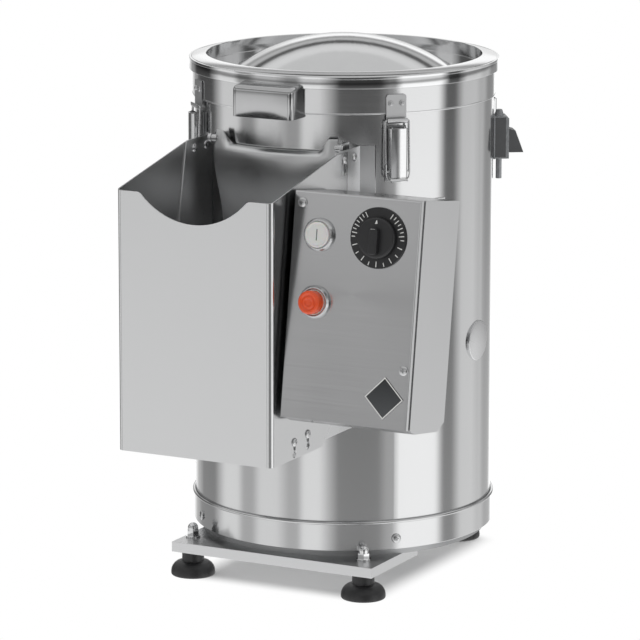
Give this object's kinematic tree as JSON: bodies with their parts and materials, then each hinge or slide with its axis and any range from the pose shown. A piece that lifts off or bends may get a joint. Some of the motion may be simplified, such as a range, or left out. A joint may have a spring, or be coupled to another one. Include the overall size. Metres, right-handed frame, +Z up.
{
  "type": "electric potato peeler",
  "caption": "Bench-top electric potato peeler: stainless drum with a latched lift-off lid, an outlet door with chute hood, a leaning control box and a rotating abrasive disc.",
  "frame": {"origin": "centre of the bounding box's footprint, on the floor under the feet", "axes": "+Z up, -Y the front with the chute hood, +X the right side with the control box"},
  "size_m": [0.439, 0.578, 0.63],
  "materials": {
    "brushed_shell": "satin",
    "lid_steel": "semi_gloss",
    "hood_steel": "satin",
    "panel_steel": "satin",
    "satin_steel": "satin",
    "frame_steel": "satin",
    "dull_steel": "satin",
    "latch_steel": "gloss",
    "polished_steel": "gloss",
    "fastener_steel": "satin",
    "cast_aluminium": "satin",
    "motor_paint": "satin",
    "foot_rubber": "matte",
    "seal_rubber": "matte",
    "belt_rubber": "matte",
    "abrasive_grey": "matte",
    "black_plastic": "matte",
    "dial_black": "matte",
    "badge_grey": "semi_gloss",
    "device_plastic": "matte",
    "button_white": "gloss",
    "button_red": "gloss"
  },
  "bodies": {
    "housing": {"rubber_feet": "foot_rubber", "foot_studs": "fastener_steel", "cap_nuts": "polished_steel", "front_foot_beam": "frame_steel", "rear_foot_beam": "frame_steel", "base_plate": "dull_steel", "base_ring": "brushed_shell", "panel_screws": "fastener_steel", "drum_shell": "brushed_shell", "chamber_floor": "dull_steel", "abrasive_liner": "abrasive_grey", "drain_spout": "satin_steel", "bearing_housing": "cast_aluminium", "shaft_bearings": "fastener_steel", "shaft_seal": "seal_rubber", "motor_plate": "dull_steel", "motor_housing": "motor_paint", "run_capacitor": "device_plastic", "drive_belt": "belt_rubber", "blanking_plug": "satin_steel", "valve_coil": "black_plastic", "valve_body": "dull_steel", "cable_gland": "black_plastic", "box_bracket": "satin_steel", "box_shell": "panel_steel", "box_cover": "panel_steel", "badge_plate": "badge_grey", "button_bezels": "polished_steel", "contact_blocks": "device_plastic", "timer_body": "device_plastic", "timer_scale": "dial_black", "motor_contactor": "device_plastic", "hood_brackets": "satin_steel", "hood_bolts": "fastener_steel", "chute_hood": "hood_steel", "door_lugs": "satin_steel", "hinge_pins": "fastener_steel", "latch_bases": "latch_steel"},
    "lid": {"lid_dish": "lid_steel", "lid_skirt": "brushed_shell", "lid_seal": "seal_rubber", "lid_grip": "lid_steel", "latch_catches": "satin_steel"},
    "front_right_lever": {"front_right_lever": "latch_steel"},
    "front_right_bail": {"front_right_bail": "polished_steel"},
    "front_left_lever": {"front_left_lever": "latch_steel"},
    "front_left_bail": {"front_left_bail": "polished_steel"},
    "rear_right_lever": {"rear_right_lever": "latch_steel"},
    "rear_right_bail": {"rear_right_bail": "polished_steel"},
    "rear_left_lever": {"rear_left_lever": "latch_steel"},
    "rear_left_bail": {"rear_left_bail": "polished_steel"},
    "outlet_door": {"outlet_door": "satin_steel"},
    "timer_knob": {"timer_knob": "dial_black"},
    "start_button": {"start_button": "button_white"},
    "stop_button": {"stop_button": "button_red"},
    "peeling_rotor": {"abrasive_disc": "abrasive_grey", "drive_shaft": "fastener_steel", "driven_pulley": "cast_aluminium"},
    "motor_pulley": {"motor_pulley": "cast_aluminium"}
  },
  "joints": [
    {"name": "lid_lift", "type": "slide", "parent": "housing", "child": "lid", "axis": [0, 0, 1], "range_m": [0, 0.25]},
    {"name": "front_right_lever_swing", "type": "hinge", "parent": "housing", "child": "front_right_lever", "pos_m": [0.09461, -0.05231, 0.5445], "axis": [-0.6884, -0.7254, 0], "range_deg": [0, 120]},
    {"name": "front_right_bail_swing", "type": "hinge", "parent": "front_right_lever", "child": "front_right_bail", "pos_m": [0.09424, -0.05197, 0.4965], "axis": [-0.6884, -0.7254, 0], "range_deg": [-150, 0]},
    {"name": "front_left_lever_swing", "type": "hinge", "parent": "housing", "child": "front_left_lever", "pos_m": [-0.16481, -0.05911, 0.5445], "axis": [-0.7254, 0.6884, 0], "range_deg": [0, 120]},
    {"name": "front_left_bail_swing", "type": "hinge", "parent": "front_left_lever", "child": "front_left_bail", "pos_m": [-0.16447, -0.05874, 0.4965], "axis": [-0.7254, 0.6884, 0], "range_deg": [-150, 0]},
    {"name": "rear_right_lever_swing", "type": "hinge", "parent": "housing", "child": "rear_right_lever", "pos_m": [0.08781, 0.20711, 0.5445], "axis": [0.7254, -0.6884, 0], "range_deg": [0, 120]},
    {"name": "rear_right_bail_swing", "type": "hinge", "parent": "rear_right_lever", "child": "rear_right_bail", "pos_m": [0.08747, 0.20674, 0.4965], "axis": [0.7254, -0.6884, 0], "range_deg": [-150, 0]},
    {"name": "rear_left_lever_swing", "type": "hinge", "parent": "housing", "child": "rear_left_lever", "pos_m": [-0.17161, 0.20031, 0.5445], "axis": [0.6884, 0.7254, 0], "range_deg": [0, 120]},
    {"name": "rear_left_bail_swing", "type": "hinge", "parent": "rear_left_lever", "child": "rear_left_bail", "pos_m": [-0.17124, 0.19997, 0.4965], "axis": [0.6884, 0.7254, 0], "range_deg": [-150, 0]},
    {"name": "door_swing", "type": "hinge", "parent": "housing", "child": "outlet_door", "pos_m": [-0.0385, -0.094, 0.525], "axis": [-1, 0, 0], "range_deg": [0, 55]},
    {"name": "timer_turn", "type": "hinge", "parent": "housing", "child": "timer_knob", "pos_m": [0.1705, -0.25013, 0.45897], "axis": [0, -0.9893, 0.1461], "range_deg": [-300, 0]},
    {"name": "start_press", "type": "slide", "parent": "housing", "child": "start_button", "axis": [0, 0.9893, -0.1461], "range_m": [0, 0.003], "stiffness_N_per_m": 300, "springref_m": -0.002},
    {"name": "stop_press", "type": "slide", "parent": "housing", "child": "stop_button", "axis": [0, 0.9893, -0.1461], "range_m": [0, 0.003], "stiffness_N_per_m": 300, "springref_m": -0.002},
    {"name": "rotor_spin", "type": "hinge", "parent": "housing", "child": "peeling_rotor", "pos_m": [-0.0385, 0.074, 0.34], "axis": [0, 0, 1], "continuous": true},
    {"name": "motor_spin", "type": "hinge", "parent": "housing", "child": "motor_pulley", "pos_m": [-0.0385, 0.179, 0.11], "axis": [0, 0, 1], "continuous": true}
  ],
  "couplings": [
    {"joint": "front_right_bail_swing", "follows": "front_right_lever_swing", "ratio": -1.25},
    {"joint": "front_left_bail_swing", "follows": "front_left_lever_swing", "ratio": -1.25},
    {"joint": "rear_right_bail_swing", "follows": "rear_right_lever_swing", "ratio": -1.25},
    {"joint": "rear_left_bail_swing", "follows": "rear_left_lever_swing", "ratio": -1.25},
    {"joint": "motor_spin", "follows": "rotor_spin", "ratio": 3.5}
  ]
}
